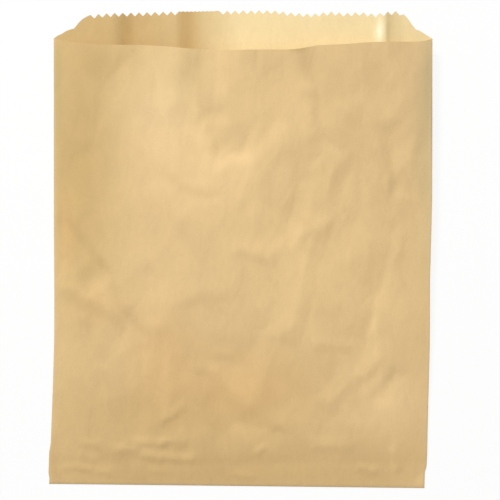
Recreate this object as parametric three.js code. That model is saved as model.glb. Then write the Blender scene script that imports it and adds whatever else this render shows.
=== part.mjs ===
// A flat brown paper bag, lying on its back with its mouth a little open.
// One sheet of kraft paper is lapped into a tube along a glued seam in the back panel. The tube's lower end
// is folded under the back panel and glued there. The back panel ends in a toothed lip, higher than the
// front panel's plain edge. X runs across the bag, Y from the bottom fold to the mouth and Z up.
// All sizes are in millimetres.

import * as THREE from "three";

// The sheet
const paperThickness = 0.1;
const foldGap = 0.3; // left between the two panels where they are pressed flat

// The bag laid flat
const bagWidth = 305; // between the side creases
const bagLength = 386.7; // from the bottom fold to the highest tooth of the lip
const bottomSlant = 3.4; // how much lower the bottom fold is at its right end than at its left
const leanShift = 5; // how far the bottom fold lies to the left of the mouth
const leanLength = 200; // the lean grows over this length above the bottom fold

// The front panel's edge
const frontDip = 10; // how far its middle lies below its ends

// The lip, the part of the back panel above the ends of the front panel's edge
const lipHeight = 25.2; // at its highest tooth
const lipArc = 4.5; // how much lower its end teeth are
const shoulderRun = 17; // the shoulder, a curved cut that rises from each side crease
const shoulderRise = 9;
const cornerRun = 5.5; // the corner, from the shoulder's inner end to the first tooth
const cornerBend = { run: 0.4, rise: 0.6 }; // where the corner bends, as shares of its run and its rise
const toothPitch = 6.5;
const toothDepth = 3.2;

// The glued seam in the back panel, measured from the bag's middle line
const seamMiddle = -37.5;
const seamWidth = 30;
const seamDrape = 14; // the panel comes back down to the surface over this width beside the seam

// The flap that closes the bottom, folded under the back panel
const flapDepth = 18;
const flapDrape = 40; // the back panel comes back down to the surface over this length above the flap

// How far the bag stands open
const creaseLift = 11; // height of the side creases at the mouth
const frontBulge = 11; // height of the front panel's middle above the creases at the mouth
const flatShare = 0.5; // share of the back panel's width that lies flat on the surface
const bulgeSharpness = 1.25; // above 1, the bulge starts more softly beside the creases

// The back panel's bends in the mouth: their heights, and how far they lie in from the side creases or to
// the right of the seam's edges. They fade out over the reach below the front panel's edge.
const mouthReach = 120;
const leftBends = [
  { inset: 20, height: 9.6 },
  { inset: 49, height: 8 },
  { inset: 61, height: 4.4 },
];
const seamBends = [
  { afterLeftEdge: -4, height: 2.6 },
  { afterLeftEdge: 10, height: 0.4 },
  { afterLeftEdge: 24, height: 0 },
  { afterLeftEdge: 40, height: 0 },
];
const rightBends = [
  { inset: 92, height: 4.6 },
  { inset: 44, height: 8 },
  { inset: 39, height: 11 },
  { inset: 34.5, height: 9 },
  { inset: 24, height: 8.3 },
  { inset: 14, height: 9.2 },
];

// Broad soft dents in the front panel. Each has its middle, its half length and half width, the angle of its
// length from the X axis in degrees, and its depth. A negative depth is a swelling.
const dents = [
  { x: -58, y: 268, long: 60, wide: 34, angle: 75, depth: -1.8 },
  { x: 62, y: 205, long: 80, wide: 16, angle: 62, depth: 1.5 },
  { x: -108, y: 160, long: 62, wide: 14, angle: -48, depth: 1.6 },
  { x: 112, y: 160, long: 90, wide: 15, angle: 86, depth: 1.3 },
  { x: -10, y: 104, long: 80, wide: 40, angle: 4, depth: -2.4 },
  { x: 20, y: 322, long: 34, wide: 20, angle: 82, depth: 1.2 },
];

// The mesh
const columnWidth = 9.5;
const panelRows = 24;
const shoulderSteps = 4;
const rowAboveFlap = 1.5; // the first whole row above the flap's edge, in flap depths
const samePlace = 0.01; // points closer together than this count as one

const halfWidth = bagWidth / 2;
const creaseTop = bagLength - lipHeight;
const seamLeft = seamMiddle - seamWidth / 2;
const seamRight = seamMiddle + seamWidth / 2;
const flapThickness = 2 * paperThickness;
const stackHeight = 3 * paperThickness + foldGap; // from the back panel's underside to the front panel's top
const justAfter = 1e-6; // puts the second of two points at one place after the first

const clamp01 = (value) => Math.min(1, Math.max(0, value));

// How far across the bag a point lies: -1 at the left crease, 1 at the right one.
const share = (across) => across / halfWidth;

// The bag's middle line bends to the left towards the bottom fold.
function middleLine(y) {
  return -leanShift * clamp01(1 - y / leanLength) ** 2;
}

function bottomEdge(across) {
  return (-share(across) * bottomSlant) / 2;
}

function frontEdge(across) {
  return creaseTop - frontDip * clamp01(1 - share(across) ** 2) ** 2;
}

// How far open the bag is at a height above the bottom fold: 0 at the flap, 1 from the mouth up.
function openness(y) {
  return Math.sin((Math.PI / 2) * clamp01((y - flapDepth) / (creaseTop - flapDepth)));
}

// The back panel's bends in the mouth, from the left crease to the right one.
const mouthBends = [
  { across: -halfWidth, height: creaseLift },
  ...leftBends.map(({ inset, height }) => ({ across: inset - halfWidth, height })),
  ...seamBends.map(({ afterLeftEdge, height }) => ({ across: seamLeft + afterLeftEdge, height })),
  ...rightBends.map(({ inset, height }) => ({ across: halfWidth - inset, height })),
  { across: halfWidth, height: creaseLift },
].sort((a, b) => a.across - b.across);

// Height of a line of points at a place across, by the straight run between the points on its two sides.
function heightBetween(points, across, key) {
  const next = Math.max(1, points.findIndex((point) => point.across >= across));
  const [a, b] = [points[next - 1], points[next]];
  return THREE.MathUtils.mapLinear(across, a.across, b.across, a[key], b[key]);
}

// Height of the back panel's underside, not counting the seam. Its sides curl up to the creases, and in the
// mouth it is bent open.
function backHeight(across, y) {
  const curl = clamp01((Math.abs(share(across)) - flatShare) / (1 - flatShare));
  const overFlap = flapThickness * clamp01(1 - (y - flapDepth) / flapDrape);
  const lying = creaseLift * openness(y) * curl ** 2;
  const inMouth = THREE.MathUtils.smoothstep(y, creaseTop - mouthReach, creaseTop);
  return THREE.MathUtils.lerp(lying, heightBetween(mouthBends, across, "height"), inMouth) + overFlap;
}

// The right half of the sheet lies on the left half in the seam, and comes down to the surface beside it.
function besideSeam(across) {
  return paperThickness * clamp01(1 - (across - seamRight) / seamDrape);
}

function dentDepth(across, y) {
  let depth = 0;
  for (const dent of dents) {
    const turn = THREE.MathUtils.degToRad(dent.angle);
    const dx = across - dent.x;
    const dy = y - dent.y;
    const along = (dx * Math.cos(turn) + dy * Math.sin(turn)) / dent.long;
    const aside = (-dx * Math.sin(turn) + dy * Math.cos(turn)) / dent.wide;
    depth += dent.depth * Math.exp(-(along ** 2) - aside ** 2);
  }
  return depth;
}

// Height of the front panel's upper side.
function frontHeight(across, y) {
  const arch = clamp01(1 - share(across) ** 2);
  const bulge = frontBulge * arch ** bulgeSharpness - dentDepth(across, y) * arch;
  return backHeight(halfWidth, y) + stackHeight + openness(y) * bulge;
}

// A point of the outer skin. Rows of points are joined in the order of their "at" values.
function outerPoint(across, y, z, at = across) {
  return { at, place: new THREE.Vector3(middleLine(y) + across, y, z) };
}

// A point of the inner skin, one thickness of paper in from the side creases.
function innerPoint(across, y, z, at = across) {
  const inset = (across * (halfWidth - paperThickness)) / halfWidth;
  return { at, place: new THREE.Vector3(middleLine(y) + inset, y, z) };
}

// Places across the bag: one on each bend and on each edge of the seam, and more between them.
function columns() {
  const fixed = [...mouthBends.map(({ across }) => across), seamLeft, seamRight].sort((a, b) => a - b);
  const places = [fixed[0]];
  for (const next of fixed.slice(1)) {
    const from = places.at(-1);
    const parts = Math.ceil((next - from) / columnWidth);
    for (let i = 1; i <= parts; i++) places.push(from + ((next - from) * i) / parts);
  }
  return places;
}

// The teeth along a line: a tooth tip in the middle of each pitch and a notch between two tips.
function toothLine(tipLine, isNotched) {
  const span = bagWidth - 2 * (shoulderRun + cornerRun);
  const teeth = Math.max(2, Math.round(span / toothPitch));
  const points = [];
  for (let i = 0; i <= 2 * teeth; i++) {
    const across = -span / 2 + (span * i) / (2 * teeth);
    const isTip = i % 2 === 1;
    const depth = isTip || !isNotched(across) ? 0 : toothDepth;
    points.push({ across, y: tipLine(across) - depth });
  }
  return points;
}

// The lip's cut edge from the left crease to the right one: shoulder, corner, teeth, corner, shoulder.
// The sheet's two layers leave no notches in the seam.
function lipOutline() {
  const toothed = halfWidth - shoulderRun - cornerRun;
  const tipLine = (across) => bagLength - lipArc * (across / toothed) ** 2;
  const teeth = toothLine(tipLine, (across) => across < seamLeft || across > seamRight);
  const rise = (run) => creaseTop + shoulderRise * Math.sin(((Math.PI / 2) * run) / shoulderRun);
  const shoulder = [];
  for (let i = 0; i <= shoulderSteps; i++) {
    const run = (shoulderRun * i) / shoulderSteps;
    shoulder.push({ across: run - halfWidth, y: rise(run) });
  }
  const cornerTop = tipLine(toothed) - toothDepth;
  shoulder.push({
    across: shoulderRun + cornerRun * cornerBend.run - halfWidth,
    y: THREE.MathUtils.lerp(creaseTop + shoulderRise, cornerTop, cornerBend.rise),
  });
  const mirrored = shoulder.map(({ across, y }) => ({ across: -across, y })).reverse();
  return [...shoulder, ...teeth, ...mirrored];
}

// The flap's cut edge, made by the same toothed knife.
function flapOutline() {
  const line = toothLine(
    (across) => bottomEdge(across) + flapDepth,
    () => true,
  );
  const end = (across) => ({ across, y: bottomEdge(across) + flapDepth });
  return [end(-halfWidth), ...line, end(halfWidth)];
}

// An outline with a point added at a place across.
function withPointAt(outline, across) {
  if (outline.some((point) => Math.abs(point.across - across) < samePlace)) return outline;
  const added = { across, y: heightBetween(outline, across, "y") };
  return [...outline, added].sort((a, b) => a.across - b.across);
}

// The underside of the back panel along an outline. Past the seam's outer edge the sheet is one layer higher.
function undersideRow(outline) {
  const row = [];
  for (const { across, y } of outline) {
    const low = backHeight(across, y);
    const atStep = Math.abs(across - seamRight) < samePlace;
    if (across < seamRight || atStep) row.push(outerPoint(across, y, low));
    if (across > seamRight || atStep) {
      row.push(outerPoint(across, y, low + besideSeam(across), across + (atStep ? justAfter : 0)));
    }
  }
  return row;
}

// The inside of the back panel along an outline. The seam starts with the edge of the upper layer.
function insideBackRow(outline) {
  const row = [];
  for (const { across, y } of outline) {
    const oneLayer = backHeight(across, y) + paperThickness;
    const atStep = Math.abs(across - seamLeft) < samePlace;
    if (across < seamLeft || atStep) row.push(innerPoint(across, y, oneLayer));
    if (across > seamLeft || atStep) {
      const upper = oneLayer + besideSeam(Math.max(across, seamRight));
      row.push(innerPoint(across, y, upper, across + (atStep ? justAfter : 0)));
    }
  }
  return row;
}

const flapUndersideRow = (outline) => outline.map(({ across, y }) => outerPoint(across, y, 0));

const frontRow = (outline) => outline.map(({ across, y }) => outerPoint(across, y, frontHeight(across, y)));

const insideFrontRow = (outline) =>
  outline.map(({ across, y }) => innerPoint(across, y, frontHeight(across, y) - paperThickness));

// An outline across the bag at a share of the way from the bottom edge to a top edge.
function outlineAt(part, topEdge) {
  return columns().map((across) => {
    const low = bottomEdge(across);
    return { across, y: THREE.MathUtils.lerp(low, topEdge(across), part) };
  });
}

// The triangles between two rows. They face up if the first row lies below the second and both run to the
// right.
function joinRows(triangles, first, second) {
  let i = 0;
  let j = 0;
  while (i < first.length - 1 || j < second.length - 1) {
    const firstIsNext =
      j === second.length - 1 || (i < first.length - 1 && first[i + 1].at <= second[j + 1].at);
    const a = first[i].place;
    const b = second[j].place;
    if (firstIsNext) triangles.push(a, first[++i].place, b);
    else triangles.push(a, second[++j].place, b);
  }
}

function joinUpwards(triangles, rows) {
  for (let k = 0; k < rows.length - 1; k++) joinRows(triangles, rows[k], rows[k + 1]);
}

function joinDownwards(triangles, rows) {
  for (let k = 0; k < rows.length - 1; k++) joinRows(triangles, rows[k + 1], rows[k]);
}

// The points of a panel's rows along one crease, ordered by their distance from the bottom fold.
function creaseLine(rows, side) {
  return rows.map((row, k) => {
    const place = row[side < 0 ? 0 : row.length - 1].place;
    return { at: place.y + k * justAfter, place };
  });
}

function paperBag() {
  const shares = Array.from({ length: panelRows }, (_, k) => k / panelRows);
  const lip = columns().reduce(withPointAt, lipOutline());
  const flap = flapOutline();
  const flapAtSeam = withPointAt(flap, seamRight);

  // The last row of columns before the lip follows its shoulders and corners.
  const lipLine = (across) => heightBetween(lip, across, "y");
  const backOutline = (part) => outlineAt(part, lipLine);
  const frontOutline = (part) => outlineAt(part, frontEdge);
  const flapShare = flapDepth / creaseTop;
  const aboveFlap = shares.filter((part) => part > rowAboveFlap * flapShare);

  const front = [0, flapShare, ...aboveFlap, 1].map((part) => frontRow(frontOutline(part)));
  const underside = [
    flapUndersideRow(backOutline(0)),
    flapUndersideRow(flap),
    undersideRow(flapAtSeam),
    ...aboveFlap.map((part) => undersideRow(backOutline(part))),
    undersideRow(lip),
  ];
  const insideShares = [paperThickness / creaseTop, flapShare, ...aboveFlap];
  const insideFront = [...insideShares, 1].map((part) => insideFrontRow(frontOutline(part)));
  const insideBack = [
    ...insideShares.map((part) => insideBackRow(backOutline(part))),
    insideBackRow(lip),
  ];

  const triangles = [];
  joinUpwards(triangles, front);
  joinDownwards(triangles, underside);
  joinDownwards(triangles, insideFront);
  joinUpwards(triangles, insideBack);

  // The folds: along the bottom, and along the left and right creases, outside and inside.
  joinRows(triangles, underside[0], front[0]);
  joinRows(triangles, insideFront[0], insideBack[0]);
  joinRows(triangles, creaseLine(front, -1), creaseLine(underside, -1));
  joinRows(triangles, creaseLine(underside, 1), creaseLine(front, 1));
  joinRows(triangles, creaseLine(insideBack, -1), creaseLine(insideFront, -1));
  joinRows(triangles, creaseLine(insideFront, 1), creaseLine(insideBack, 1));

  // The cut edge of the paper round the mouth.
  const [frontTop, backTop] = [front.at(-1), underside.at(-1)];
  const [insideFrontTop, insideBackTop] = [insideFront.at(-1), insideBack.at(-1)];
  joinRows(triangles, frontTop, insideFrontTop);
  joinRows(triangles, insideBackTop, backTop);
  joinRows(triangles, [backTop[0], frontTop[0]], [insideBackTop[0], insideFrontTop[0]]);
  joinRows(
    triangles,
    [frontTop.at(-1), backTop.at(-1)],
    [insideFrontTop.at(-1), insideBackTop.at(-1)],
  );

  const geometry = new THREE.BufferGeometry().setFromPoints(triangles);
  geometry.computeVertexNormals();
  geometry.computeBoundingBox();
  const middle = geometry.boundingBox.getCenter(new THREE.Vector3());
  geometry.translate(-middle.x, -middle.y, 0);
  const kraft = new THREE.MeshStandardMaterial({ color: 0xd6b681, roughness: 0.85, metalness: 0 });
  const mesh = new THREE.Mesh(geometry, kraft);
  mesh.name = "paper_bag";
  return mesh;
}

const bag = new THREE.Group();
bag.add(paperBag());

export default bag;
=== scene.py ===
"""A flat brown paper bag that lies on a white surface with its mouth a little open."""

import math
import random
from collections import namedtuple

import bpy
import numpy as np
from bpy.props import (
    FloatProperty,
    FloatVectorProperty,
    IntProperty,
    PointerProperty,
)
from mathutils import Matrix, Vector
from mathutils.geometry import delaunay_2d_cdt


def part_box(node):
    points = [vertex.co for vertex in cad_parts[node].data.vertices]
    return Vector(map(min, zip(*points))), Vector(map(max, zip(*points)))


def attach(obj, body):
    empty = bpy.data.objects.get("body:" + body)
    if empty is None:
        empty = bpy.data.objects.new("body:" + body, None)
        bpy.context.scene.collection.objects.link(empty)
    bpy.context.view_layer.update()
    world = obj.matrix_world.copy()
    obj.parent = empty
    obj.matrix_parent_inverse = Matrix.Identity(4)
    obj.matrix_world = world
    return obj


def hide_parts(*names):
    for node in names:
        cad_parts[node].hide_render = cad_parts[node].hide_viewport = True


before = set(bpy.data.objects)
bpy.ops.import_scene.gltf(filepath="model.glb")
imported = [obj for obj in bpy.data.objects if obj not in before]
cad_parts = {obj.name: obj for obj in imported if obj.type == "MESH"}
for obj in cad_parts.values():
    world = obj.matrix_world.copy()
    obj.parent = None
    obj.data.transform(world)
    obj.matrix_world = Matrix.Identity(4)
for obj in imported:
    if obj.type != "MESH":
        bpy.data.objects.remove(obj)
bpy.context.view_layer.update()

bl_info = {
    "name": "Flat Paper Bag",
    "version": (1, 0, 0),
    "blender": (4, 5, 0),
    "location": "View3D > Sidebar > Paper Bag",
    "description": "Folds a flat brown paper bag from one sheet and sets a plain stage for it",
    "category": "Add Mesh",
}

BAG_LOW, BAG_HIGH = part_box("paper_bag")
MM = 0.001


# Shape, in millimetres across from the bag's middle line and up from its bottom fold

# The front panel's edge: how far it lies below the top of the side creases
FRONT_EDGE = (
    (-152, 0.0), (-140, 2.8), (-118, 5.6), (-80, 6.2), (-60, 7.6), (-48, 9.0), (-32, 10.2), (-10, 10.8),
    (20, 10.2), (38, 10.2), (46, 9.2), (60, 6.6), (80, 5.6), (95, 4.3), (107, 3.4), (124, 3.0),
    (140, 2.8), (147, 2.0), (152, 0.4),
)

# The lip's tooth tips above the top of the side creases, between its shoulders
LIP_EDGE = (
    (-128, 18.6), (-112, 20.4), (-90, 21.6), (-61, 22.7), (0, 24.0), (24, 24.0), (38, 22.0),
    (55, 20.7), (71, 22.5), (82, 21.2), (95, 21.8), (107, 20.2), (120, 22.2), (126, 22.4), (131, 18.6),
)

# The cut of the two shoulders, from the top of the side crease inwards
LEFT_SHOULDER = (
    (0, 0.0), (3.2, 2.3), (6.5, 3.8), (9.7, 6.0), (13, 7.2), (16.2, 8.1), (19.4, 12.3), (22.7, 15.6),
    (26, 17.6),
)
RIGHT_SHOULDER = (
    (0, 0.0), (3.2, 1.9), (6.5, 4.0), (9.7, 6.1), (13, 7.4), (16.2, 11.5), (19.4, 16.3), (22, 18.6),
)

# The back panel's cross-section in the mouth: its height where it is bent open
MOUTH_SECTION = (
    (-152.5, 11.0), (-132, 9.6), (-103, 8.0), (-91, 4.4), (-56, 2.6), (-52, 2.3), (-42, 0.4),
    (-28, 0.0), (-12, 0.0), (10, 0.9), (60, 4.6), (108, 8.0), (113.5, 11.0), (118, 9.0),
    (128, 8.3), (138, 9.2), (152.5, 11.0),
)

# How far each side crease bows outwards, going up from the bottom fold
LEFT_BOW = (
    (0, 0.2), (5, -0.2), (10, 0.9), (27, 1.1), (34, 0.1), (60, 0.0), (118, -0.5), (200, 0.2),
    (300, 0.0),
)
RIGHT_BOW = (
    (0, -0.4), (11, -0.6), (15, 0.6), (26, 0.6), (44, 0.1), (70, -0.3), (118, -0.6), (166, -1.4),
    (200, -0.7), (231, 0.0), (300, 0.0),
)

# A broad soft dent, or with a negative depth a swelling: its middle, its half length and half width,
# the angle of its length from the X axis in degrees, and its depth
Dent = namedtuple("Dent", "x y long wide angle depth")

# A place with finer facets: its middle, half length, half width and angle as in a dent, and its
# strength
Crumple = namedtuple("Crumple", "x y long wide angle strength")

# A crease from one point to another, like a hipped roof with flat sides: a ridge, or with a negative
# height a valley. Left and right are the reach of its sides, seen from the first point to the second
Crease = namedtuple("Crease", "x1 y1 x2 y2 left right height")

# A soft patch where the paper's colour changes, most of them painted light and shade: its middle, half
# length, half width and angle as in a dent, and the factors on its red, green and blue
Patch = namedtuple("Patch", "x y long wide angle red green blue")

FRONT_DENTS = (
    Dent(-58, 268, 60, 34, 75, -1.8),
    Dent(62, 205, 80, 16, 62, 1.5),
    Dent(-108, 160, 62, 14, -48, 1.6),
    Dent(112, 160, 90, 15, 86, 1.0),
    Dent(-10, 104, 80, 40, 4, -2.4),
    Dent(20, 322, 34, 20, 82, 1.2),
)

FRONT_CREASES = (
    # The soft valley down the left side, and the bends under it
    Crease(-150, 222, -112, 168, 8, 26, -1.5),
    Crease(-118, 176, -86, 122, 8, 28, -1.7),
    Crease(-148, 166, -98, 136, 16, 10, 1.4),
    Crease(-126, 134, -114, 98, 6, 14, -0.7),
    # The long slanting ridge on the right, with a valley beside it
    Crease(76, 268, 58, 202, 12, 16, 1.2),
    Crease(60, 214, 38, 120, 11, 18, 1.2),
    Crease(50, 252, 32, 200, 12, 9, -0.8),
    # The upright valley near the right crease
    Crease(115, 290, 124, 236, 18, 7, -1.3),
    Crease(122, 212, 111, 150, 7, 16, -0.7),
    Crease(110, 160, 98, 116, 6, 14, -0.5),
    # Upright folds that start at the front panel's edge
    Crease(-54, 366, -48, 300, 18, 28, 1.5),
    Crease(-23, 366, -21, 296, 10, 16, -1.3),
    Crease(-25, 300, -17, 266, 13, 8, -1.2),
    Crease(40, 356, 52, 316, 8, 14, 0.9),
    Crease(52, 322, 58, 280, 7, 12, 0.7),
    # The soft round valley under the brightest place
    Crease(-72, 254, -44, 232, 10, 18, -0.7),
    Crease(-48, 236, -20, 230, 8, 18, -0.8),
    Crease(-24, 260, 6, 272, 16, 8, -1.0),
    Crease(2, 268, 32, 298, 14, 10, -0.8),
    # Short creases in the middle
    Crease(-6, 192, 26, 183, 12, 6, 0.8),
    Crease(-76, 122, -48, 154, 22, 12, 0.8),
    Crease(-52, 153, -2, 161, 18, 10, 0.6),
    Crease(-24, 108, -6, 106, 7, 3, 0.4),
    Crease(-42, 94, -18, 92, 7, 4, 0.4),
    Crease(60, 114, 90, 111, 9, 4, 0.5),
    # Creases in the lower right
    Crease(94, 92, 72, 64, 8, 14, 1.0),
    Crease(114, 106, 98, 88, 5, 10, 0.7),
    Crease(128, 94, 106, 68, 10, 6, -0.8),
    # Creases above the bottom fold
    Crease(-64, 54, -52, 60, 6, 4, 0.6),
    Crease(-54, 60, -44, 66, 6, 4, 0.6),
    Crease(-60, 38, -44, 42, 7, 5, 0.6),
    Crease(-128, 34, -112, 34, 5, 5, 0.6),
    Crease(-100, 30, -80, 28, 4, 6, 0.6),
    Crease(-84, 33, -60, 35, 6, 4, 0.7),
    Crease(-64, 36, -42, 37, 4, 7, 0.8),
    Crease(-78, 25, -60, 22, 5, 6, 0.7),
    Crease(-62, 23, -34, 21, 6, 4, 0.6),
    Crease(-114, 12, -102, 11, 5, 4, 0.5),
    Crease(-72, 12, -58, 11, 4, 4, 0.4),
    Crease(-142, 14, -118, 14, 3, 4, 0.5),
    Crease(14, 26, 21, 32, 5, 4, 0.5),
    Crease(-2, 9, 16, 8, 4, 3, 0.4),
    Crease(124, 30, 129, 13, 5, 4, 0.7),
    Crease(96, 14, 112, 11, 4, 4, 0.6),
    Crease(58, 34, 92, 30, 9, 6, 0.5),
    # The bent lower right corner
    Crease(139.5, 0, 149, 16, 4, 8, -0.7),
)

# Places where handling has left finer facets
FINE_CRUMPLES = (
    Crumple(-85, 26, 70, 20, 0, 1.0),
    Crumple(112, 66, 44, 30, 40, 0.6),
    Crumple(-128, 160, 60, 20, 100, 0.5),
    Crumple(10, 250, 60, 40, 60, 0.4),
)

# Soft patches on the front panel's outer side: painted light and painted shade, with a few redder tints
# among them
FRONT_SHADING_AND_TINTS = (
    # Painted shade on the left strip; by its side crease, painted light in the middle and shade above
    Patch(-132, 255, 125, 32, 90, 0.81, 0.79, 0.68),
    Patch(-112, 350, 56, 26, 0, 0.89, 0.88, 0.83),
    Patch(-118, 314, 48, 26, 90, 0.92, 0.92, 0.92),
    Patch(-146, 183, 55, 12, 90, 1.07, 1.07, 1.07),
    Patch(-151, 322, 44, 7, 90, 0.85, 0.89, 0.88),
    # The brightest place, a painted highlight at the upper left of the middle
    Patch(-64, 276, 62, 28, 98, 1.08, 1.07, 1.10),
    Patch(-22, 255, 36, 24, 20, 1.10, 1.10, 1.12),
    Patch(-31, 277, 20, 12, 90, 1.13, 1.13, 1.12),
    # Painted shade in the valleys that hang from the front panel's edge
    Patch(-43, 336, 26, 11, 75, 0.85, 0.86, 0.84),
    Patch(50, 345, 15, 8, 90, 0.87, 0.87, 0.86),
    Patch(50, 252, 28, 13, 90, 0.94, 0.94, 0.94),
    Patch(-63, 318, 48, 30, 90, 0.975, 1.005, 1.03),
    # Painted shade of a small nick in the front panel's edge
    Patch(44, 352, 7, 2.2, 6, 0.84, 0.84, 0.76),
    # Painted shade at the upper right, darkest along the side crease
    Patch(146, 320, 70, 18, 90, 0.91, 0.91, 0.93),
    Patch(60, 330, 90, 40, 0, 0.97, 0.965, 0.96),
    Patch(149, 290, 120, 8, 90, 0.955, 1.00, 1.02),
    Patch(151, 322, 40, 6, 90, 0.85, 0.87, 0.88),
    # Painted light on the middle and the right side
    Patch(70, 160, 95, 70, 90, 1.09, 1.09, 1.08),
    Patch(8, 178, 60, 34, 0, 1.05, 1.05, 1.05),
    Patch(-80, 157, 26, 15, 0, 1.06, 1.06, 1.06),
    Patch(118, 60, 32, 20, 10, 1.06, 1.06, 1.09),
    Patch(104, 76, 30, 20, 30, 1.09, 1.09, 1.10),
    Patch(140, 72, 80, 22, 90, 1.06, 1.06, 1.06),
    # Slightly redder places in the lower middle and on the left
    Patch(4, 80, 50, 32, 0, 1.045, 0.985, 0.935),
    Patch(-64, 104, 36, 24, 90, 1.035, 0.98, 0.935),
    Patch(-141, 208, 28, 7, 90, 1.05, 1.00, 0.99),
    Patch(-118, 145, 18, 12, 0, 1.02, 0.985, 0.97),
    # The pale corner at the lower right
    Patch(148.5, 4, 7, 3.5, 60, 1.13, 1.15, 1.18),
    # Painted shade along the bottom, and above it a yellower band with a patch of painted shade
    Patch(0, 4, 260, 34, 0, 0.90, 0.87, 0.80),
    Patch(-60, 6, 110, 18, 0, 0.94, 0.935, 0.93),
    Patch(-60, 56, 110, 32, 0, 1.01, 0.995, 0.94),
    Patch(-72, 60, 46, 22, 12, 0.95, 0.94, 0.93),
    # Painted light on a place on the left
    Patch(-132, 130, 36, 18, 70, 1.03, 1.03, 1.04),
)

# Painted highlight on the curl inside the right of the mouth, and painted shade on the bend beside it
INNER_PAINTED_SHADING = (
    Patch(110.5, 368, 9, 3.0, 84, 1.12, 1.34, 1.72),
    Patch(117.5, 370, 14, 2.0, 86, 0.86, 0.84, 0.80),
    # A painted shadow that the front panel's edge casts on the inner side
    Patch(40, 352, 90, 5, 2, 0.96, 0.94, 0.90),
)

# Painted light and shade on the sheet's inner side across the mouth, from shaded brown (0) to lit pale
# (1)
INNER_PAINTED_LIGHT = (
    (-152, 0.2), (-102, 0.17), (-98, 0.0), (-92, 0.0), (-86, 0.12), (-60, 0.3), (-53, 0.32),
    (-51, 0.06), (-42, 0.12), (-31, 0.55), (-18, 0.78), (-5, 1.0), (112, 1.0), (117, 0.8), (152, 0.85),
)

TEETH = 47  # over the whole width, as the knife that cuts the tube has them
BARE_LEFT = 4.5  # the left shoulder's run, in tooth widths
BARE_RIGHT = 3.5
SEAM_TEETH = 0.25  # depth of the lip's teeth over the glued seam, as a share of the others' depth
SEAM_STEP = 1.1  # how much higher the seam's upper layer lies, in paper thicknesses
SEAM_PHASE = 0.5  # how far the upper layer's teeth are out of step with the lower layer's
SEAM_DRAPE = 14  # the back panel comes down to the surface over this width beside the seam
FLAT_SHARE = 0.5  # share of the back panel's width that lies flat
MOUTH_REACH = 120  # the mouth's cross-section fades out over this length below the front edge
FLAP_DRAPE = 40  # the back panel comes down to the surface over this length above the flap
BULGE_POWER = 1.25  # above 1, the front's bulge starts more softly beside the side creases
LEAST_GAP = 0.8  # least distance between the two panels' middles, in fold gaps

# The two waves that make straight creases a little crooked: height, and length per radian both ways
WOBBLES = ((0.9, 9.3, 41), (0.4, 4.1, -23))
CREASE_END = 0.4  # height of a crease at its two ends, as a share of its full height
CREASE_FADE = 8  # creases and facets fade out over this width beside the side creases
BOTTOM_FADE = (1, 8)  # they start this far above the bottom fold, and grow over this length

# The nets of facets, from coarse to fine: steps across and up, and height as a share of the crumple
FACET_NETS = ((30, 52, 1.0), (15, 26, 0.4), (8, 9, 0.3))
JITTER = 0.42  # how far a net's points lie off a plain lattice, as a share of its steps
FACET_ROOM = (0.4, 2)  # facets grow with the room under the front panel: head start, and full room

# The net that the sheet is made of
FOLD_STEPS = 4
FLAP_ROWS = 9
PANEL_ROWS = ((0, 26), (0.16, 82), (0.9, 16))  # share of the length where rows start, and their number
FLAP_CUT_FADE = 0.4  # share of the flap's depth over which the rows straighten behind its toothed edge
LIP_CUT_FADE = 0.06  # the same for the lip, as a share of the panel's length
SAME_PLACE = 0.01  # two points that are nearer than this lie in one place
TINY = 1e-6
SMOOTH_BELOW = 60  # degrees between two faces, above which the edge between them is a cut one

EDGE_WEAR = 0.3  # beside folds, and on the flap's cut edge
FOLD_WEAR = 0.45  # on the bottom fold itself
WEAR_REACH = 1.5


# Kraft paper

# Noise over the flat sheet: cells per metre across and along it, detail, roughness and distortion
Noise = namedtuple("Noise", "across along detail roughness distortion")

PULP_CLOUDS = Noise(22, 15, 4, 0.55, 0.0)
PULP_STREAKS = Noise(85, 34, 2, 0.5, 0.8)
LONG_FIBRES = Noise(1500, 160, 3, 0.65, 0.0)
CROSS_FIBRES = Noise(420, 900, 2, 0.6, 0.6)
SPECKS = Noise(900, 380, 1, 0.4, 1.2)
SOFT_CRUMPLE = Noise(62, 34, 2, 0.5, 0.8)
MACHINE_RIBS = Noise(900, 14, 1, 0.5, 0.0)
PULP_GRAIN = Noise(1400, 900, 3, 0.6, 0.0)

SPECK_LEVEL = 0.66  # specks show where their noise is above this
SPECK_SHARPNESS = 9.0
FIBRE_ROUGHNESS = 0.12  # how much fibres change the roughness
SPECULAR_LEVEL = 0.18

# Strengths of the tones, and heights of the relief, that both sides of the paper share
TONE_STRENGTHS = {"Streaks": 0.10, "Fibres": 0.07, "Flecks": 0.1, "Wear": 0.5}
RELIEF_HEIGHTS = {"Ribs": 0.012 * MM, "Grain": 0.02 * MM}

# Sockets of a Mix node that mixes colours: its factor and two colours, and its result
MIX_INPUTS = (0, 6, 7)
MIX_RESULT = 2


# Stage, in metres

WHITE = (1.0, 1.0, 1.0)
WARM_WHITE = (1.0, 0.95, 0.86)
FLOOR_SIZE = 6
FLOOR_DROP = 0.1 * MM  # how far the surface lies below the bag, so that the two don't touch
FLOOR_COLOUR = (0.9, 0.9, 0.9)
FLOOR_ROUGHNESS = 0.9
FLOOR_GLOW = 0.9  # share of plain white in what the camera sees of the surface; the rest takes shadow
PICTURE_WIDTH = 500  # pixels
AIM_HEIGHT = 0.01  # height of the plane that the camera is set to
VIEW_LIMIT = 20  # the camera sees this far
KEY_PLACE = (-0.92, 1.96, 1.61)
KEY_SIZE = 0.7
FILL_PLACE = (-0.3, 0.4, 2.2)
FILL_SIZE = 0.9


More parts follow.
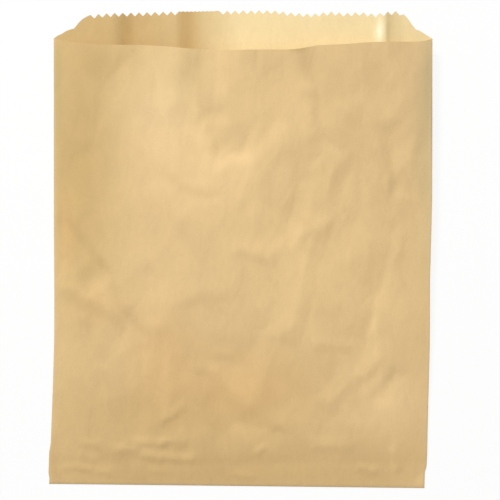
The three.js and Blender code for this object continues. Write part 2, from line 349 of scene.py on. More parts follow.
def length_setting(name, description, default, low, high, precision=3):
    """A length in the sidebar, from values in millimetres."""
    return FloatProperty(
        name=name, description=description, default=default * MM, min=low * MM, max=high * MM,
        precision=precision, subtype="DISTANCE", unit="LENGTH",
    )


def colour_setting(name, description, default):
    return FloatVectorProperty(
        name=name, description=description, default=default, size=3, min=0, max=1, subtype="COLOR",
    )


def power_setting(name, description, default):
    return FloatProperty(
        name=name, description=description, default=default, min=0, max=500,
        subtype="POWER", unit="POWER",
    )


class BagSettings(bpy.types.PropertyGroup):
    """Sizes of the bag's sheet"""

    thickness: length_setting(
        "Paper Thickness", "Thickness of the kraft paper", 0.1, 0.05, 0.3, precision=5,
    )
    fold_gap: length_setting(
        "Fold Gap", "Distance between the middles of two layers that are pressed together",
        0.3, 0.15, 1, precision=5,
    )
    width: length_setting("Width", "Distance between the side creases", 305, 50, 600)
    lip_height: length_setting(
        "Lip Height", "Height of the lip's highest tooth above the top of the side creases",
        25.2, 5, 60,
    )
    tooth_depth: length_setting("Tooth Depth", "Depth of the notches along the cut edges", 3.2, 0, 6)
    seam_left: length_setting(
        "Seam Left Edge", "Left edge of the glued back seam, from the bag's middle line",
        -52.5, -150, 100,
    )
    seam_width: length_setting(
        "Seam Width", "Width over which the sheet's two layers are glued", 30, 5, 60,
    )
    flap_depth: length_setting(
        "Flap Depth", "Depth of the bottom flap that is folded under the back panel", 18, 5, 60,
    )
    bottom_slant: length_setting(
        "Bottom Slant", "How much lower the bottom fold is at its right end", 3.4, -20, 20,
    )
    lean: length_setting("Lean", "How far the bottom fold lies to the left of the mouth", 5, -30, 30)
    lean_length: length_setting(
        "Lean Length", "Length above the bottom fold over which the lean grows", 200, 50, 400,
    )
    crease_lift: length_setting("Crease Lift", "Height of the side creases at the mouth", 11, 0, 30)
    front_bulge: length_setting(
        "Front Bulge", "Height of the front panel's middle above the creases at the mouth", 11, 0, 40,
    )
    relief: FloatProperty(
        name="Relief", description="Factor on the height of the front panel's creases",
        default=0.9, min=0, max=4,
    )
    crumple: length_setting(
        "Crumple", "Height of the small flat facets that handling has left", 1.2, 0, 3, precision=5,
    )
    seed: IntProperty(name="Seed", description="Start of the random facets", default=12, min=0)


class KraftSettings(bpy.types.PropertyGroup):
    """Colours and finish of the kraft paper"""

    outside: colour_setting("Outside", "Colour of the paper's outer side", (0.745, 0.532, 0.267))
    # Across the mouth the inner side is mixed between the next two colours as painted light and shade:
    # the first where lit, the second where shaded
    inside: colour_setting("Inside", "Colour of the paper's paler inner side", (0.83, 0.66, 0.36))
    inside_shaded: colour_setting(
        "Inside Brown", "Colour of the inner side where it is browner", (0.56, 0.37, 0.15),
    )
    fleck: colour_setting("Fleck", "Colour of the dark fibres in the paper", (0.42, 0.25, 0.10))
    worn: colour_setting(
        "Worn Fold", "Colour where folds and cut edges are rubbed pale", (0.86, 0.70, 0.44),
    )
    roughness: FloatProperty(
        name="Roughness", description="Roughness of the paper between its fibres",
        default=0.8, min=0, max=1, subtype="FACTOR",
    )


class StageSettings(bpy.types.PropertyGroup):
    """Camera, surface and lights"""

    focal_length: FloatProperty(
        name="Focal Length", description="Focal length of the camera, in millimetres",
        default=130, min=35, max=300,
    )
    pixel_size: length_setting(
        "Pixel Size", "Width of the bag that a pixel of the 500 pixel wide picture shows",
        0.806, 0.1, 5, precision=6,
    )
    aim_across: length_setting(
        "Aim Across", "How far right of the bag's middle line the camera looks", 5.6, -200, 200,
    )
    aim_up: length_setting("Aim Up", "How far above the bottom fold the camera looks", 191, -200, 500)
    key_power: power_setting("Key Power", "Power of the soft lamp beyond the mouth, to the left", 70)
    fill_power: power_setting("Fill Power", "Power of the wide soft lamp overhead", 10)
    surround: FloatProperty(
        name="Surround", description="Strength of the even light from all round",
        default=0.25, min=0, max=2,
    )


def setting_names(settings):
    return [name for name in settings.bl_rna.properties.keys() if name not in {"rna_type", "name"}]


def smoothstep(value):
    t = np.clip(value, 0, 1)
    return t * t * (3 - 2 * t)


def along_knots(knots, across, softness):
    """Height of a drawn line at places across the bag, with its corners rounded."""
    xs, heights = np.array(knots).T
    taps = np.array([-1.0, -0.5, 0.0, 0.5, 1.0])
    weights = np.array([1, 3, 4, 3, 1]) / 12
    return sum(w * np.interp(across + t * softness, xs, heights) for t, w in zip(taps, weights))


def soft_spot(spot, across, y):
    """One in the middle of a dent or patch, falling softly to nothing around it."""
    turn = math.radians(spot.angle)
    dx, dy = across - spot.x, y - spot.y
    along = (dx * math.cos(turn) + dy * math.sin(turn)) / spot.long
    aside = (dy * math.cos(turn) - dx * math.sin(turn)) / spot.wide
    return np.exp(-(along ** 2) - aside ** 2)


def wobble(first, second):
    """A small smooth shift that makes straight creases a little crooked."""
    return sum(height * np.sin(first / along + second / aside) for height, along, aside in WOBBLES)


def dent_depth(across, y):
    return sum(dent.depth * soft_spot(dent, across, y) for dent in FRONT_DENTS)


def fine_strength(across, y):
    return sum(place.strength * soft_spot(place, across, y) for place in FINE_CRUMPLES)


def crease_relief(across, y):
    """Height of all the front panel's creases, each with its flat sides and hipped ends."""
    across, y = across + wobble(y, across), y + wobble(across, y)
    relief = np.zeros_like(across)
    for crease in FRONT_CREASES:
        start = np.array([crease.x1, crease.y1], float)
        run = np.array([crease.x2, crease.y2], float) - start
        length = np.hypot(*run)
        dx, dy = across - start[0], y - start[1]
        t = (dx * run[0] + dy * run[1]) / length ** 2
        aside = (dx * run[1] - dy * run[0]) / length
        reach = np.where(aside > 0, crease.right, crease.left)
        slope = 1 - np.abs(aside) / reach
        mean_reach = 0.5 * (crease.left + crease.right)
        hip = np.minimum(t, 1 - t) * length / mean_reach + CREASE_END
        relief = relief + crease.height * np.clip(np.minimum(slope, hip), 0, 1)
    return relief


def facet_height(facets, across, y):
    height = np.zeros_like(across)
    for (ax, ay, az), (bx, by, bz), (cx, cy, cz) in facets:
        area = (bx - ax) * (cy - ay) - (cx - ax) * (by - ay)
        if abs(area) < TINY:
            continue
        wb = ((across - ax) * (cy - ay) - (cx - ax) * (y - ay)) / area
        wc = ((bx - ax) * (y - ay) - (across - ax) * (by - ay)) / area
        inside = (wb >= 0) & (wc >= 0) & (wb + wc <= 1)
        height = np.where(inside, az + wb * (bz - az) + wc * (cz - az), height)
    return height


def fold_middle(bag):
    """Where the bag's middle line meets its bottom fold: across and up, in metres."""
    return BAG_HIGH[0] - bag.width / 2, BAG_LOW[1] + bag.bottom_slant / 2


class BagForm:
    """The folded bag's shape, in millimetres, from the settings and the frame's box."""

    def __init__(self, settings):
        lengths = [name for name in setting_names(settings) if name not in {"seed", "relief"}]
        self.s = {name: getattr(settings, name) / MM for name in lengths}
        s = self.s
        self.stack = s["fold_gap"]
        self.half = s["width"] / 2 - self.stack / 2 - s["thickness"] / 2
        self.length = (BAG_HIGH[1] - BAG_LOW[1]) / MM - s["bottom_slant"] / 2
        self.crease_top = self.length - s["lip_height"]
        self.pitch = 2 * self.half / TEETH
        self.inner_radius = s["thickness"]
        # The flap's outermost layer rests on the surface, and the other layers are stacked on it.
        self.fold_centre = self.inner_radius + self.stack + s["thickness"] / 2
        self.relief = settings.relief
        self.facets, self.small_facets, self.fine_facets = (
            self.crumple_net(random.Random(settings.seed + k), *net) for k, net in enumerate(FACET_NETS)
        )

    # Outlines

    def share(self, across):
        return across / self.half

    def middle_line(self, y):
        return -self.s["lean"] * np.clip(1 - y / self.s["lean_length"], 0, 1) ** 2

    def bottom_edge(self, across):
        return -self.share(across) * self.s["bottom_slant"] / 2

    def front_edge(self, across):
        return self.crease_top - along_knots(FRONT_EDGE, across, softness=4)

    def lip_edge(self, across):
        """The lip's outline without its notches, from one side crease to the other."""
        left = np.interp(self.half + across, *np.array(LEFT_SHOULDER).T)
        right = np.interp(self.half - across, *np.array(RIGHT_SHOULDER).T)
        shoulder = np.where(across < 0, left, right)
        toothed = along_knots(LIP_EDGE, across, softness=1.5)
        return self.crease_top + np.where(self.on_shoulder(across), shoulder, toothed)

    def on_shoulder(self, across):
        bare = np.where(across < 0, BARE_LEFT, BARE_RIGHT) * self.pitch
        return self.half - np.abs(across) < bare - SAME_PLACE

    def notches(self, across, phase):
        """Depth of the cut below the tooth tips: a zigzag with one tooth to each pitch."""
        turn = (across + self.half) / self.pitch + phase
        return self.s["tooth_depth"] * 2 * np.abs(turn - np.floor(turn) - 0.5)

    def lip_notches(self, across, phase):
        past_left = across - self.s["seam_left"]
        slack = self.pitch / 4
        over_seam = (past_left > -slack) & (past_left < self.s["seam_width"] + slack)
        cut = self.notches(across, phase) * np.where(over_seam, SEAM_TEETH, 1)
        return np.where(self.on_shoulder(across), 0, cut)

    # Heights

    def openness(self, y):
        flap = self.s["flap_depth"]
        return np.sin(np.pi / 2 * np.clip((y - flap) / (self.crease_top - flap), 0, 1))

    def over_flap(self, y):
        """Height of the back panel's middle layer where it lies on the flap and beside it."""
        lying = self.s["thickness"] / 2
        on_flap = self.fold_centre + self.inner_radius
        fall = smoothstep((y - self.s["flap_depth"]) / FLAP_DRAPE)
        return on_flap + (lying - on_flap) * fall

    def near_mouth(self, y):
        return smoothstep((y - self.crease_top + MOUTH_REACH) / MOUTH_REACH)

    def back_height(self, across, y):
        curl = np.clip((np.abs(self.share(across)) - FLAT_SHARE) / (1 - FLAT_SHARE), 0, 1) ** 2
        lying = self.s["crease_lift"] * self.openness(y) * curl
        bent = along_knots(MOUTH_SECTION, across, softness=1.6)
        near = self.near_mouth(y)
        return lying * (1 - near) + bent * near + self.over_flap(y)

    def crease_height(self, y):
        return self.s["crease_lift"] * self.openness(y) + self.over_flap(y)

    def front_height(self, across, y):
        arch = np.clip(1 - self.share(across) ** 2, 0, 1)
        opening = self.openness(y)
        bulge = self.s["front_bulge"] * arch ** BULGE_POWER - dent_depth(across, y) * arch
        height = self.crease_height(y) + self.stack + opening * bulge
        facets = facet_height(self.facets, across, y) + facet_height(self.small_facets, across, y)
        fine = fine_strength(across, y) * facet_height(self.fine_facets, across, y)
        inwards = smoothstep((self.half - np.abs(across)) / CREASE_FADE)
        upwards = smoothstep((y - BOTTOM_FADE[0]) / BOTTOM_FADE[1])
        room = smoothstep((opening * bulge + FACET_ROOM[0]) / FACET_ROOM[1])
        creases = self.relief * crease_relief(across, y)
        height = height + inwards * upwards * (creases + facets * room + fine)
        return np.maximum(height, self.back_height(across, y) + self.stack * LEAST_GAP)

    def crumple_net(self, rng, step_x, step_y, strength):
        """A net of flat triangles between points of random height: their corners."""
        points, heights = [], []
        columns = int(2 * self.half / step_x) + 3
        rows = int(self.length / step_y) + 3
        for j in range(-1, rows):
            for i in range(-1, columns):
                x = -self.half + (i + 0.5 * (j % 2) + rng.uniform(-JITTER, JITTER)) * step_x
                y = (j + rng.uniform(-JITTER, JITTER)) * step_y
                points.append(Vector((x, y)))
                heights.append(rng.uniform(-1, 1) * strength * self.s["crumple"])
        found = delaunay_2d_cdt(points, [], [], 0, TINY)
        corners, faces, sources = found[0], found[2], found[3]
        height_of = [heights[source[0]] if source else 0.0 for source in sources]
        return [[(corners[i].x, corners[i].y, height_of[i]) for i in face] for face in faces]

    def lapped(self, columns):
        """How much higher the sheet lies in the upper layer of the seam and beside it on the right."""
        seam_right = self.s["seam_left"] + self.s["seam_width"]
        halfway = len(columns) // 2
        raised = []
        for k, column in enumerate(columns):
            beside = min(max((column.across - seam_right) / SEAM_DRAPE, 0), 1)
            raised.append(1.0 if column.lap else (1 - beside if k > halfway else 0.0))
        return np.array(raised) * self.s["thickness"] * SEAM_STEP


# The sheet as a net of columns and rows

# A column's place across, its level from 0 on the back panel to 1 on the front, how far it stands out
# from the side crease, 1 in the seam's upper layer, its teeth's phase, and its place on the flat sheet
Column = namedtuple("Column", "across level out lap phase flat")

# A row's part of the sheet, its share of that part, and its place on the flat sheet
Row = namedtuple("Row", "kind value flat")


def sheet_columns(form):
    """Columns round the tube: from the seam's lower layer over the front and back to its upper layer."""
    half_pitch = form.pitch / 2
    first = round((form.s["seam_left"] + form.half) / half_pitch)
    last = first + round(form.s["seam_width"] / half_pitch)
    columns = []

    def add(across, level, out=0.0, lap=0, phase=0.0):
        flat = 0.0
        if columns:
            before = columns[-1]
            step = abs(across - before.across)
            round_fold = form.stack * math.pi / 2 / FOLD_STEPS
            flat = before.flat + (step if step > SAME_PLACE else round_fold)
        columns.append(Column(across, level, out, lap, phase, flat))

    def fold(side, upwards):
        for k in range(1, FOLD_STEPS):
            turn = math.pi * k / FOLD_STEPS
            rise = (1 - math.cos(turn)) / 2
            out = side * form.stack / 2 * math.sin(turn)
            add(side * form.half, rise if upwards else 1 - rise, out)

    for i in range(last, -1, -1):
        add(-form.half + i * half_pitch, 0)
    fold(-1, True)
    for i in range(4 * TEETH + 1):
        add(-form.half + i * half_pitch / 2, 1)
    fold(1, False)
    for i in range(2 * TEETH, first - 1, -1):
        in_seam = i <= last
        add(-form.half + i * half_pitch, 0, lap=int(in_seam), phase=SEAM_PHASE * in_seam)
    return columns


def sheet_rows(form):
    """Rows along the tube: from the flap's cut edge, round the bottom fold and up to the mouth."""
    flap = form.s["flap_depth"]
    rows = [Row("flap", 1 - k / FLAP_ROWS, -flap * (1 - k / FLAP_ROWS)) for k in range(FLAP_ROWS)]
    rows += [Row("fold", 1 - k / FOLD_STEPS, 0) for k in range(1, FOLD_STEPS)]
    shares = []
    ends = [start for start, count in PANEL_ROWS[1:]] + [1]
    for (start, count), end in zip(PANEL_ROWS, ends):
        shares += [start + (end - start) * k / count for k in range(count)]
    rows += [Row("panel", part, part * form.crease_top) for part in shares + [1.0]]
    return rows


def sheet_points(form, columns, rows):
    """Places of all the net's points: rows by columns by (x, y, z), in millimetres."""
    across = np.array([c.across for c in columns])
    level = np.array([c.level for c in columns], float)
    out = np.array([c.out for c in columns])
    lap = np.array([c.lap for c in columns], float)
    phase = np.array([c.phase for c in columns])
    is_front = level >= 1
    is_back = level <= 0
    layer = level * form.stack + lap * form.s["thickness"] * SEAM_STEP
    bottom = form.bottom_edge(across)
    top = np.where(is_front, form.front_edge(across), form.crease_top)
    top = np.where(is_back, form.lip_edge(across), top)
    top_cut = np.where(is_back, form.lip_notches(across, phase), 0)
    flap_cut = form.notches(across, phase)
    points = np.zeros((len(rows), len(columns), 3))
    first_panel_row = next(j for j, row in enumerate(rows) if row.kind == "panel")
    for j, row in enumerate(rows[:first_panel_row]):
        if row.kind == "fold":
            turn = math.pi * row.value
            radius = form.inner_radius + layer
            points[j, :, 1] = bottom - radius * math.sin(turn)
            points[j, :, 2] = form.fold_centre + radius * math.cos(turn)
        else:
            cut = flap_cut * smoothstep((row.value - 1 + FLAP_CUT_FADE) / FLAP_CUT_FADE)
            points[j, :, 1] = bottom + form.s["flap_depth"] * row.value - cut
            points[j, :, 2] = form.fold_centre - form.inner_radius - layer
    part = np.array([row.value for row in rows[first_panel_row:]])[:, None]
    cut = top_cut * smoothstep((part - 1 + LIP_CUT_FADE) / LIP_CUT_FADE)
    y = bottom + (top - bottom) * part - cut
    wide = np.broadcast_to(across, y.shape)
    z = form.crease_height(y) + layer
    z[:, is_back] = form.back_height(wide[:, is_back], y[:, is_back]) + form.lapped(columns)[is_back]
    z[:, is_front] = form.front_height(wide[:, is_front], y[:, is_front])
    points[first_panel_row:, :, 1] = y
    points[first_panel_row:, :, 2] = z
    y = points[:, :, 1]
    left_bow, right_bow = (np.interp(y, *np.array(knots).T) for knots in (LEFT_BOW, RIGHT_BOW))
    bow = np.where(across < 0, left_bow, right_bow)
    points[:, :, 0] = form.middle_line(y) + across * (1 + bow / form.half) + out
    return points


def wear_of(form, columns, rows, points):
    """How worn the paper is at each point: along the folds and the flap's cut edge."""
    across = np.array([c.across for c in columns])
    wear = np.zeros(points.shape[:2])
    beside_crease = form.half - np.abs(across)
    wear += EDGE_WEAR * np.exp(-beside_crease / WEAR_REACH)[None, :]
    for j, row in enumerate(rows):
        y = points[j, :, 1]
        if row.kind == "panel":
            wear[j] += EDGE_WEAR * np.exp(-np.maximum(y - form.bottom_edge(across), 0) / WEAR_REACH)
        elif row.kind == "fold":
            wear[j] += FOLD_WEAR
        elif row.value == 1:
            wear[j] += EDGE_WEAR
    return np.clip(wear, 0, 1)


def shading_and_tint_of(patches, columns, points, level):
    """Factors on the paper's colour at each point: soft patches of painted light and shade, with a few
    tints, on one panel.
    """
    across = np.broadcast_to(np.array([c.across for c in columns]), points.shape[:2])
    on_panel = np.array([c.level == level for c in columns])
    tone = np.ones(points.shape)
    for patch in patches:
        weight = soft_spot(patch, across, points[:, :, 1]) * on_panel
        tone *= 1 + weight[:, :, None] * (np.array([patch.red, patch.green, patch.blue]) - 1)
    return np.concatenate([tone, np.ones(tone.shape[:2] + (1,))], -1)


def painted_light_of(columns, points):
    """How far the inner side is lit at each point: its painted light and shade, from 0 to 1."""
    across = np.array([c.across for c in columns])
    return np.broadcast_to(along_knots(INNER_PAINTED_LIGHT, across, softness=1), points.shape[:2])


def sheet_object(form, place, name):
    """The folded sheet without its thickness, its middle line and bottom fold at the given place."""
    columns = sheet_columns(form)
    rows = sheet_rows(form)
    points = sheet_points(form, columns, rows)
    wear = wear_of(form, columns, rows, points)
    shift = np.array([*place, 0]) / MM
    points = (points + shift) * MM
    n_rows, n_columns = points.shape[:2]
    index = np.arange(n_rows * n_columns).reshape(n_rows, n_columns)
    quads = np.stack([index[:-1, :-1], index[:-1, 1:], index[1:, 1:], index[1:, :-1]], -1).reshape(-1, 4)
    mesh = bpy.data.meshes.new(name)
    mesh.from_pydata(points.reshape(-1, 3).tolist(), [], quads.tolist())
    flat_u = np.array([c.flat for c in columns]) * MM
    flat_v = np.array([r.flat for r in rows]) * MM
    uv = mesh.uv_layers.new(name="flat_sheet")
    corner = np.empty(len(mesh.loops), dtype=np.int32)
    mesh.loops.foreach_get("vertex_index", corner)
    coords = np.stack([flat_u[corner % n_columns], flat_v[corner // n_columns]], -1)
    uv.data.foreach_set("uv", coords.ravel())
    mesh.attributes.new("wear", "FLOAT", "POINT").data.foreach_set("value", wear.ravel())
    # Painted light and shade across the inner side of the mouth
    painted_light = painted_light_of(columns, points)
    mesh.attributes.new("painted_light", "FLOAT", "POINT").data.foreach_set("value", painted_light.ravel())
    # Soft patches of painted light and shade on both panels, with a few tints on the front
    for label, patches, level in (("outer_tone_and_shading", FRONT_SHADING_AND_TINTS, 1), ("inner_shading", INNER_PAINTED_SHADING, 0)):
        tone = shading_and_tint_of(patches, columns, points / MM - shift, level)
        mesh.attributes.new(label, "FLOAT_COLOR", "POINT").data.foreach_set("color", tone.ravel())
    bag = bpy.data.objects.new(name, mesh)
    bpy.context.collection.objects.link(bag)
    return bag


# Materials

def new_group(name, inputs, outputs):
    group = bpy.data.node_groups.new(name, "ShaderNodeTree")
    for label, kind, default in inputs:
        socket = group.interface.new_socket(name=label, in_out="INPUT", socket_type=kind)
        socket.default_value = default
    for label, kind in outputs:
        group.interface.new_socket(name=label, in_out="OUTPUT", socket_type=kind)
    return group, group.nodes.new("NodeGroupInput"), group.nodes.new("NodeGroupOutput")


def math_node(tree, operation, first, second=None, clamp=False):
    node = tree.nodes.new("ShaderNodeMath")
    node.operation = operation
    node.use_clamp = clamp
    for socket, value in zip(node.inputs, (first, second)):
        if value is None:
            continue
        if isinstance(value, (int, float)):
            socket.default_value = value
        else:
            tree.links.new(value, socket)
    return node.outputs[0]


def scaled_coordinates(tree, scale):
    """The flat sheet's own coordinates, stretched."""
    source = tree.nodes.new("ShaderNodeUVMap")
    source.uv_map = "flat_sheet"
    mapping = tree.nodes.new("ShaderNodeMapping")
    mapping.inputs["Scale"].default_value = scale
    tree.links.new(source.outputs["UV"], mapping.inputs["Vector"])
    return mapping.outputs["Vector"]


def noise_node(tree, noise):
    node = tree.nodes.new("ShaderNodeTexNoise")
    node.noise_dimensions = "2D"
    node.inputs["Scale"].default_value = 1.0
    node.inputs["Detail"].default_value = noise.detail
    node.inputs["Roughness"].default_value = noise.roughness
    node.inputs["Distortion"].default_value = noise.distortion
    tree.links.new(scaled_coordinates(tree, (noise.across, noise.along, 1)), node.inputs["Vector"])
    return node.outputs["Fac"]


def attribute_node(tree, name, output):
    node = tree.nodes.new("ShaderNodeAttribute")
    node.attribute_name = name
    return node.outputs[output]


def mix_colours(tree, factor, first, second, blend="MIX"):
    node = tree.nodes.new("ShaderNodeMix")
    node.data_type = "RGBA"
    node.blend_type = blend
    for k, value in zip(MIX_INPUTS, (factor, first, second)):
        if isinstance(value, (int, float, tuple)):
            node.inputs[k].default_value = value
        else:
            tree.links.new(value, node.inputs[k])
    return node.outputs[MIX_RESULT]


def kraft_tone_group():
    """Colour of kraft paper: clouded pulp, long fibres, sparse dark flecks and pale worn folds."""
    group, given, result = new_group(
        "Kraft Tone",
        [
            ("Paper", "NodeSocketColor", (0.7, 0.5, 0.25, 1)),
            ("Fleck", "NodeSocketColor", (0.4, 0.25, 0.1, 1)),
            ("Worn", "NodeSocketColor", (0.85, 0.7, 0.45, 1)),
            ("Clouding", "NodeSocketFloat", 0.1),
            ("Streaks", "NodeSocketFloat", 0.1),
            ("Fibres", "NodeSocketFloat", 0.1),
            ("Flecks", "NodeSocketFloat", 0.4),
            ("Wear", "NodeSocketFloat", 0.5),
            ("Roughness", "NodeSocketFloat", 0.8),
        ],
        [("Color", "NodeSocketColor"), ("Roughness", "NodeSocketFloat")],
    )
    clouds = math_node(group, "SUBTRACT", noise_node(group, PULP_CLOUDS), 0.5)
    streaks = math_node(group, "SUBTRACT", noise_node(group, PULP_STREAKS), 0.5)
    fibres = noise_node(group, LONG_FIBRES)
    cross_fibres = noise_node(group, CROSS_FIBRES)
    specks = noise_node(group, SPECKS)
    cloud_part = math_node(group, "MULTIPLY", clouds, given.outputs["Clouding"])
    streak_part = math_node(group, "MULTIPLY", streaks, given.outputs["Streaks"])
    both = math_node(group, "SUBTRACT", math_node(group, "ADD", fibres, cross_fibres), 1.0)
    fibre_part = math_node(group, "MULTIPLY", both, given.outputs["Fibres"])
    broad_part = math_node(group, "ADD", cloud_part, streak_part)
    shade = math_node(group, "ADD", math_node(group, "ADD", broad_part, fibre_part), 1.0)
    scaled = group.nodes.new("ShaderNodeVectorMath")
    scaled.operation = "SCALE"
    group.links.new(given.outputs["Paper"], scaled.inputs[0])
    group.links.new(shade, scaled.inputs["Scale"])
    peaks = math_node(group, "SUBTRACT", specks, SPECK_LEVEL)
    peaks = math_node(group, "MULTIPLY", peaks, SPECK_SHARPNESS, clamp=True)
    dark = math_node(group, "MULTIPLY", peaks, given.outputs["Flecks"])
    flecked = mix_colours(group, dark, scaled.outputs[0], given.outputs["Fleck"])
    wear = attribute_node(group, "wear", "Fac")
    rubbed = math_node(group, "MULTIPLY", wear, given.outputs["Wear"], clamp=True)
    colour = mix_colours(group, rubbed, flecked, given.outputs["Worn"])
    rough = math_node(group, "MULTIPLY", both, FIBRE_ROUGHNESS)
    rough = math_node(group, "ADD", rough, given.outputs["Roughness"], clamp=True)
    group.links.new(colour, result.inputs["Color"])
    group.links.new(rough, result.inputs["Roughness"])
    return group


def kraft_relief_group():
    """Height of kraft paper's surface, in metres: soft crumples, machine ribs and pulp grain."""
    group, given, result = new_group(
        "Kraft Relief",
        [
            ("Crumple", "NodeSocketFloat", 0.0001),
            ("Ribs", "NodeSocketFloat", 0.00001),
            ("Grain", "NodeSocketFloat", 0.00001),
        ],
        [("Height", "NodeSocketFloat")],
    )
    broad = math_node(group, "SUBTRACT", noise_node(group, SOFT_CRUMPLE), 0.5)
    crumple = math_node(group, "MULTIPLY", math_node(group, "ABSOLUTE", broad), given.outputs["Crumple"])
    ribs = math_node(group, "MULTIPLY", noise_node(group, MACHINE_RIBS), given.outputs["Ribs"])
    grain = math_node(group, "MULTIPLY", noise_node(group, PULP_GRAIN), given.outputs["Grain"])
    total = math_node(group, "ADD", math_node(group, "ADD", crumple, ribs), grain)
    group.links.new(total, result.inputs["Height"])
    return group


def outside_colour(tree, kraft):
    """The outer side's colour with its soft patches of painted light and shade, and a few tints."""
    patches = attribute_node(tree, "outer_tone_and_shading", "Color")
    return mix_colours(tree, 1.0, (*kraft.outside, 1), patches, "MULTIPLY")


def inside_colour(tree, kraft):
    """The inner side's colour: painted shade on the left of the mouth, painted light on the right, and
    its patches of painted highlight, shade and shadow.
    """
    painted_light = attribute_node(tree, "painted_light", "Fac")
    paper = mix_colours(tree, painted_light, (*kraft.inside_shaded, 1), (*kraft.inside, 1))
    patches = attribute_node(tree, "inner_shading", "Color")
    return mix_colours(tree, 1.0, paper, patches, "MULTIPLY")


# A side of the paper: its material's name, the function that gives its colour, the strength of its
# clouding, and the height of its soft crumple
Side = namedtuple("Side", "name colour clouding crumple")

SIDES = (
    Side("kraft_outside", outside_colour, 0.14, 0.25 * MM),
    Side("kraft_inside", inside_colour, 0.10, 0.15 * MM),
)


def group_node(tree, group, values):
    node = tree.nodes.new("ShaderNodeGroup")
    node.node_tree = group
    for label, value in values.items():
        node.inputs[label].default_value = value
    return node


def kraft_material(side, kraft, groups):
    material = bpy.data.materials.new(side.name)
    material.use_nodes = True
    tree = material.node_tree
    shader = tree.nodes["Principled BSDF"]
    shader.inputs["Specular IOR Level"].default_value = SPECULAR_LEVEL
    tone = group_node(tree, groups["tone"], {
        "Fleck": (*kraft.fleck, 1), "Worn": (*kraft.worn, 1), "Clouding": side.clouding,
        "Roughness": kraft.roughness, **TONE_STRENGTHS,
    })
    tree.links.new(side.colour(tree, kraft), tone.inputs["Paper"])
    relief = group_node(tree, groups["relief"], {"Crumple": side.crumple, **RELIEF_HEIGHTS})
    bump = tree.nodes.new("ShaderNodeBump")
    bump.inputs["Strength"].default_value = 1.0
    bump.inputs["Distance"].default_value = 1.0
    tree.links.new(tone.outputs["Color"], shader.inputs["Base Color"])
    tree.links.new(tone.outputs["Roughness"], shader.inputs["Roughness"])
    tree.links.new(relief.outputs["Height"], bump.inputs["Height"])
    tree.links.new(bump.outputs["Normal"], shader.inputs["Normal"])
    return material


class PAPERBAG_OT_fold_bag(bpy.types.Operator):
    """Fold the paper bag from one sheet and give it its kraft paper"""

    bl_idname = "paperbag.fold_bag"
    bl_label = "Fold Paper Bag"
    bl_options = {"REGISTER", "UNDO"}

    def execute(self, context):
        bpy.ops.object.select_all(action="DESELECT")
        settings = context.scene.paper_bag
        form = BagForm(settings)
        bag = sheet_object(form, fold_middle(settings), "kraft_bag")
        groups = {"tone": kraft_tone_group(), "relief": kraft_relief_group()}
        for side in SIDES:
            bag.data.materials.append(kraft_material(side, context.scene.paper_bag_kraft, groups))
        context.view_layer.objects.active = bag
        bag.select_set(True)
        paper = bag.modifiers.new("Paper Thickness", "SOLIDIFY")
        paper.thickness = settings.thickness
        paper.offset = 0
        paper.material_offset = 1
        bpy.ops.object.modifier_apply(modifier=paper.name)
        bpy.ops.object.shade_smooth_by_angle(angle=math.radians(SMOOTH_BELOW))
        bag.select_set(False)
        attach(bag, "root")
        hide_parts("paper_bag")
        return {"FINISHED"}


def seen_directly(tree):
    """One for rays from the camera and from shiny surfaces, and nothing for all others."""
    path = tree.nodes.new("ShaderNodeLightPath")
    return math_node(tree, "MAXIMUM", path.outputs["Is Camera Ray"], path.outputs["Is Glossy Ray"])


def floor_material():
    """White paper roll: plain white to the camera, apart from the object's shadow."""
    material = bpy.data.materials.new("white_surface")
    material.use_nodes = True
    tree = material.node_tree
    output = tree.nodes["Material Output"]
    shader = tree.nodes["Principled BSDF"]
    shader.inputs["Base Color"].default_value = (*FLOOR_COLOUR, 1)
    shader.inputs["Roughness"].default_value = FLOOR_ROUGHNESS
    glow = tree.nodes.new("ShaderNodeEmission")
    glow.inputs["Strength"].default_value = 1.0
    share = math_node(tree, "MULTIPLY", seen_directly(tree), FLOOR_GLOW)
    mix = tree.nodes.new("ShaderNodeMixShader")
    tree.links.new(share, mix.inputs["Fac"])
    tree.links.new(shader.outputs["BSDF"], mix.inputs[1])
    tree.links.new(glow.outputs["Emission"], mix.inputs[2])
    tree.links.new(mix.outputs["Shader"], output.inputs["Surface"])
    return material


def surround_light(strength):
    """Even, slightly warm light from all round, and plain white to the camera."""
    world = bpy.data.worlds.new("white_surround")
    bpy.context.scene.world = world
    world.use_nodes = True
    tree = world.node_tree
    background = tree.nodes["Background"]
    seen = seen_directly(tree)
    colour = mix_colours(tree, seen, (*WARM_WHITE, 1), (*WHITE, 1))
    tree.links.new(colour, background.inputs["Color"])
    level = tree.nodes.new("ShaderNodeMapRange")
    level.inputs["To Min"].default_value = strength
    level.inputs["To Max"].default_value = 1.0
    tree.links.new(seen, level.inputs["Value"])
    tree.links.new(level.outputs["Result"], background.inputs["Strength"])


def soft_lamp(name, place, size, power):
    """A square lamp that looks at the middle of the bag."""
    lamp = bpy.data.lights.new(name, "AREA")
    lamp.shape = "SQUARE"
    lamp.size = size
    lamp.energy = power
    lamp_object = bpy.data.objects.new(name, lamp)
    bpy.context.collection.objects.link(lamp_object)
    lamp_object.location = place
    lamp_object.rotation_euler = (-lamp_object.location).to_track_quat("-Z", "Y").to_euler()


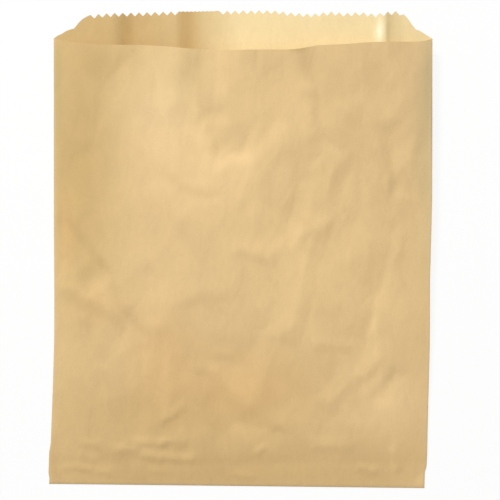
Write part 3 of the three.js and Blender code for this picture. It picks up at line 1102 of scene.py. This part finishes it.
class PAPERBAG_OT_set_stage(bpy.types.Operator):
    """Lay out the white surface, the soft lamps and the camera above the bag"""

    bl_idname = "paperbag.set_stage"
    bl_label = "Set Stage"
    bl_options = {"REGISTER", "UNDO"}

    def execute(self, context):
        stage = context.scene.paper_bag_stage
        bpy.ops.object.select_all(action="DESELECT")
        bpy.ops.mesh.primitive_plane_add(size=FLOOR_SIZE, location=(0, 0, 0))
        floor = context.active_object
        floor.name = "white_surface"
        floor.data.materials.append(floor_material())
        floor.location.z = -FLOOR_DROP
        bpy.ops.object.transform_apply(location=True, rotation=False, scale=False)
        floor.select_set(False)

        # A camera without a turn looks straight down.
        across, up = fold_middle(context.scene.paper_bag)
        lens = bpy.data.cameras.new("camera")
        lens.lens = stage.focal_length
        lens.clip_end = VIEW_LIMIT
        distance = stage.pixel_size * PICTURE_WIDTH * lens.lens / lens.sensor_width
        camera = bpy.data.objects.new("camera", lens)
        context.collection.objects.link(camera)
        camera.location = (across + stage.aim_across, up + stage.aim_up, AIM_HEIGHT + distance)
        context.scene.camera = camera

        soft_lamp("key_lamp", KEY_PLACE, KEY_SIZE, stage.key_power)
        soft_lamp("fill_lamp", FILL_PLACE, FILL_SIZE, stage.fill_power)
        surround_light(stage.surround)
        context.scene.view_settings.view_transform = "Standard"
        return {"FINISHED"}


class PAPERBAG_PT_sidebar(bpy.types.Panel):
    """Paper bag tools in the 3D view's sidebar"""

    bl_label = "Paper Bag"
    bl_idname = "PAPERBAG_PT_sidebar"
    bl_space_type = "VIEW_3D"
    bl_region_type = "UI"
    bl_category = "Paper Bag"

    def draw(self, context):
        scene = context.scene
        self.layout.operator(PAPERBAG_OT_fold_bag.bl_idname)
        self.draw_settings(scene.paper_bag)
        self.draw_settings(scene.paper_bag_kraft)
        self.layout.operator(PAPERBAG_OT_set_stage.bl_idname)
        self.draw_settings(scene.paper_bag_stage)

    def draw_settings(self, settings):
        box = self.layout.box()
        for name in setting_names(settings):
            box.prop(settings, name)


CLASSES = (
    BagSettings,
    KraftSettings,
    StageSettings,
    PAPERBAG_OT_fold_bag,
    PAPERBAG_OT_set_stage,
    PAPERBAG_PT_sidebar,
)


def register():
    for cls in CLASSES:
        bpy.utils.register_class(cls)
    bpy.types.Scene.paper_bag = PointerProperty(type=BagSettings)
    bpy.types.Scene.paper_bag_kraft = PointerProperty(type=KraftSettings)
    bpy.types.Scene.paper_bag_stage = PointerProperty(type=StageSettings)


def unregister():
    del bpy.types.Scene.paper_bag_stage
    del bpy.types.Scene.paper_bag_kraft
    del bpy.types.Scene.paper_bag
    for cls in reversed(CLASSES):
        bpy.utils.unregister_class(cls)


def main():
    register()
    bpy.ops.paperbag.fold_bag()
    bpy.ops.paperbag.set_stage()


if __name__ == "__main__":
    main()
